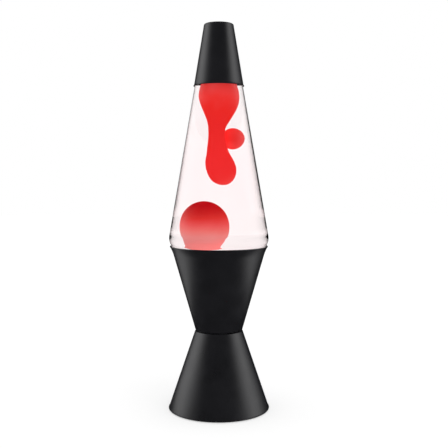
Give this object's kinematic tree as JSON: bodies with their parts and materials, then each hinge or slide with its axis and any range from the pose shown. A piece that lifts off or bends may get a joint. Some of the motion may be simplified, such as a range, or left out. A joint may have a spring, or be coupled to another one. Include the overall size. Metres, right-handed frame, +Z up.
{
  "type": "lava lamp",
  "caption": "Lava lamp with a tapered glass globe of clear liquid and red wax, a removable black cap, and a black hourglass base that holds a screw-in bulb.",
  "frame": {"origin": "centre of the underside of the rubber feet", "axes": "+Z up along the lamp's axis, -Y towards the viewer, +X to the viewer's right"},
  "size_m": [0.0974, 0.0974, 0.3683],
  "materials": {
    "black_paint": "satin black paint",
    "black_rubber": "matte rubber",
    "phenolic": "moulded phenolic",
    "brass": "plain stamped brass",
    "zinc_steel": "zinc plated steel",
    "black_board": "matte black board",
    "solder": "dull solder",
    "black_glass": "black glass insulator",
    "bulb_glass": "clear lamp glass",
    "stem_glass": "clear glass",
    "tungsten": "glowing tungsten",
    "globe_glass": "clear bottle glass",
    "liquid": "clear liquid with a faint pink tint",
    "red_wax": "warm red wax",
    "coil_steel": "coiled steel wire",
    "gold_lacquer": "lacquered tinplate",
    "liner": "soft sealing liner"
  },
  "bodies": {
    "base": {"foot_cone": "black_paint", "cord_inlet_bushing": "black_rubber", "bottom_cover": "black_board", "foot_pad_1": "black_rubber", "foot_pad_2": "black_rubber", "foot_pad_3": "black_rubber", "foot_pad_4": "black_rubber", "cup_cone": "black_paint", "lampholder_body": "phenolic", "lampholder_shell": "brass", "lampholder_centre_contact": "brass", "lock_washer": "zinc_steel", "clamp_ring": "zinc_steel", "terminal_live": "brass", "terminal_neutral": "brass", "terminal_screw_live": "zinc_steel", "terminal_screw_neutral": "zinc_steel"},
    "bulb_tip": {"bulb_tip_contact": "solder"},
    "bulb": {"bulb_insulator": "black_glass", "bulb_screw_shell": "brass", "bulb_glass": "bulb_glass", "bulb_stem": "stem_glass", "bulb_lead_in_left": "zinc_steel", "bulb_lead_in_right": "zinc_steel", "bulb_filament": "tungsten"},
    "globe": {"globe_glass": "globe_glass", "crown_liner": "liner", "crown_cap": "gold_lacquer", "wax_pool": "red_wax", "wire_coil": "coil_steel", "liquid": "liquid"},
    "wax_ball": {"wax_ball": "red_wax"},
    "wax_column": {"wax_column": "red_wax"},
    "wax_drop": {"wax_drop": "red_wax"},
    "cap": {"top_cap": "black_paint"}
  },
  "joints": [
    {"name": "globe_lift", "type": "slide", "parent": "base", "child": "globe", "axis": [0, 0, 1], "range_m": [0, 0.06]},
    {"name": "cap_lift", "type": "slide", "parent": "globe", "child": "cap", "axis": [0, 0, 1], "range_m": [0, 0.08]},
    {"name": "bulb_lift", "type": "slide", "parent": "base", "child": "bulb_tip", "axis": [0, 0, 1], "range_m": [0, 0.00847]},
    {"name": "bulb_turn", "type": "hinge", "parent": "bulb_tip", "child": "bulb", "pos_m": [0, 0, 0.08], "axis": [0, 0, 1], "range_deg": [0, 1080]},
    {"name": "wax_ball_rise", "type": "slide", "parent": "globe", "child": "wax_ball", "axis": [0, 0, 1], "range_m": [0, 0.006], "deforming": ["liquid"]},
    {"name": "wax_column_sag", "type": "slide", "parent": "globe", "child": "wax_column", "axis": [0, 0, 1], "range_m": [-0.003, 0], "deforming": ["liquid"]},
    {"name": "wax_drop_drift", "type": "slide", "parent": "globe", "child": "wax_drop", "axis": [0, 0.3499, 0.9368], "range_m": [0, 0.008], "deforming": ["liquid"]}
  ],
  "couplings": [
    {"joint": "bulb_lift", "follows": "bulb_turn", "m_per_rad": 0.00044913}
  ]
}
